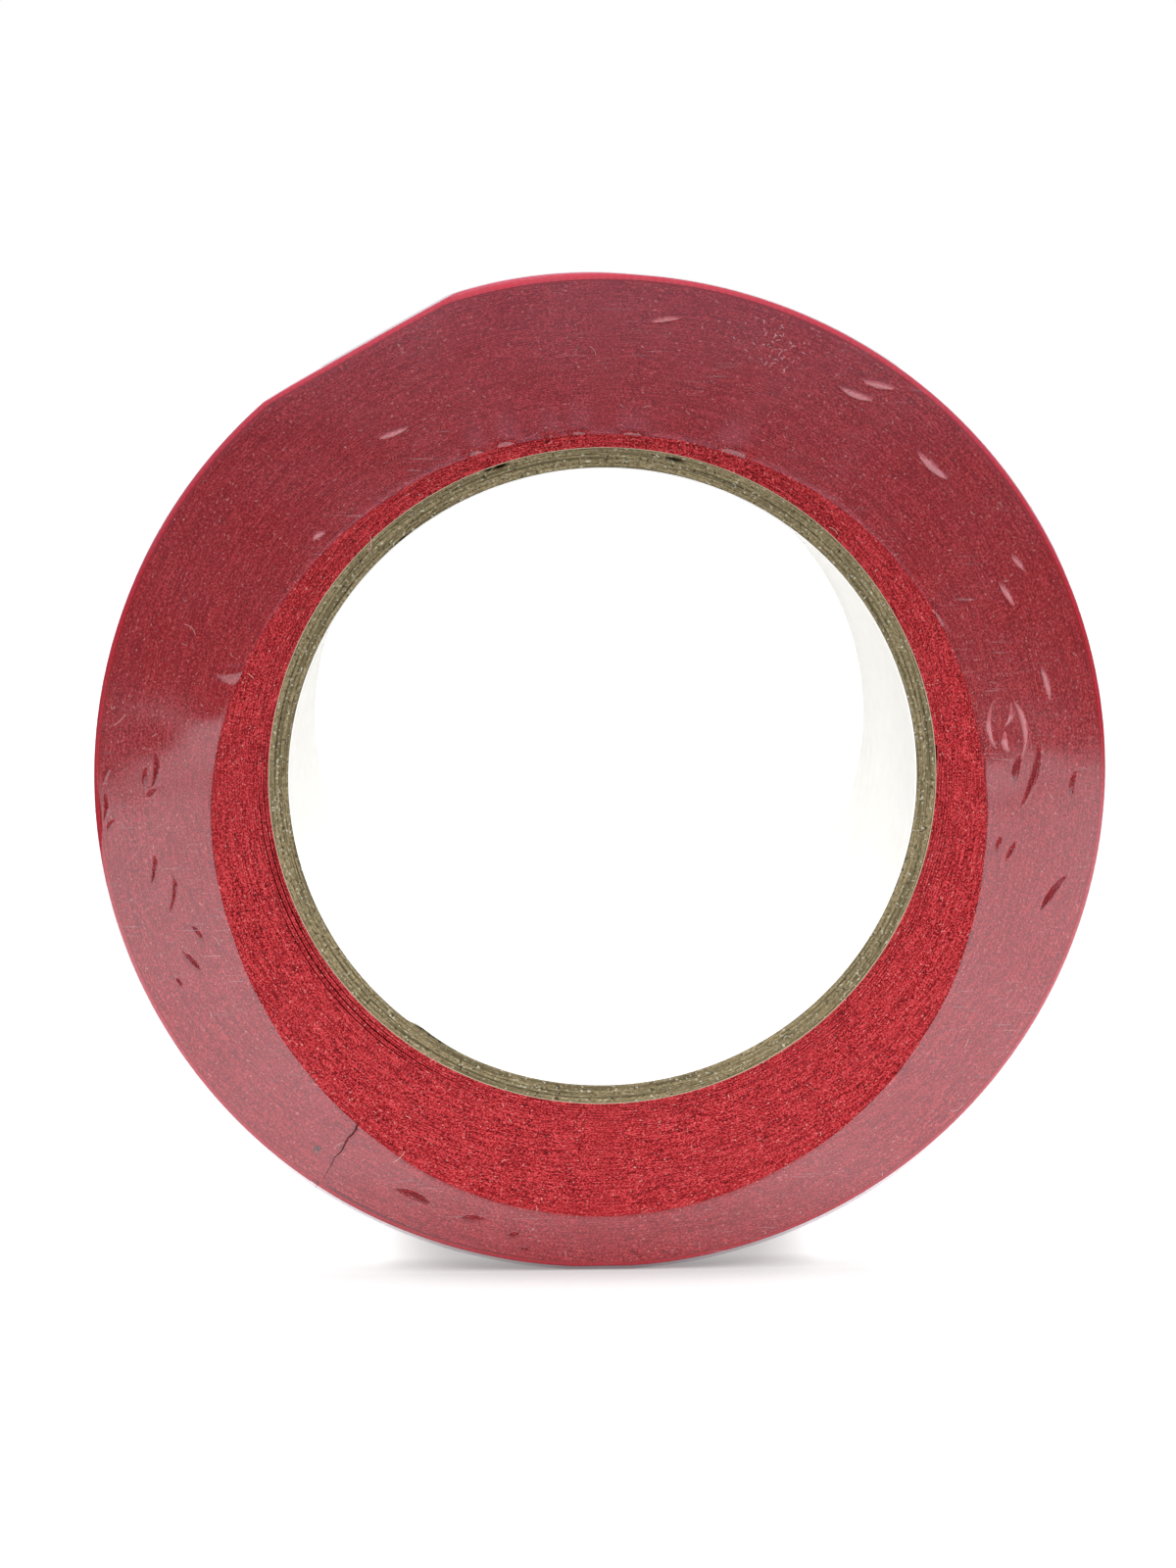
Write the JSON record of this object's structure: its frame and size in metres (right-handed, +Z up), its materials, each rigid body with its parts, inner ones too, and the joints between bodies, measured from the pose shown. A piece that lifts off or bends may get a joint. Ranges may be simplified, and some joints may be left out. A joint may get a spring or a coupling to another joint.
{
  "type": "duct tape roll",
  "caption": "Roll of red cloth duct tape on a paperboard core, in clear shrink film that folds open at its seam so that the end of the tape peels off.",
  "frame": {"origin": "middle of the core's bore, on the roll's axis", "axes": "+Y along the roll's axis, away from the front face; +Z up, with the roll standing on its rim; +X to the right as seen from the front"},
  "size_m": [0.1234, 0.049, 0.123],
  "materials": {
    "core_liner": "matte",
    "core_board": "matte",
    "tape_edge": "matte",
    "tape_backing": "satin",
    "tape_scrim": "matte",
    "tape_adhesive": "satin",
    "shrink_film": "gloss"
  },
  "bodies": {
    "roll": {"core_inner_liner": "core_liner", "core_ply_1": "core_board", "core_ply_2": "core_board", "core_ply_3": "core_board", "core_ply_4": "core_board", "core_outer_liner": "core_liner", "tape_winding": "tape_edge", "last_turn_adhesive": "tape_adhesive", "last_turn_scrim": "tape_scrim", "last_turn_backing": "tape_backing", "film_sleeve": "shrink_film"},
    "flap": {"film_flap": "shrink_film"},
    "loose_end": {"tape_end_adhesive": "tape_adhesive", "tape_end_scrim": "tape_scrim", "tape_end_backing": "tape_backing"}
  },
  "joints": [
    {"name": "film_open", "type": "hinge", "parent": "roll", "child": "flap", "pos_m": [-0.06148, 0, -0.00581], "axis": [0, 1, 0], "range_deg": [0, 105]},
    {"name": "tape_peel", "type": "hinge", "parent": "roll", "child": "loose_end", "pos_m": [-0.06065, 0, -0.00893], "axis": [0, 1, 0], "range_deg": [0, 90]}
  ],
  "couplings": [
    {"joint": "tape_peel", "follows": "film_open", "ratio": 0.85}
  ]
}
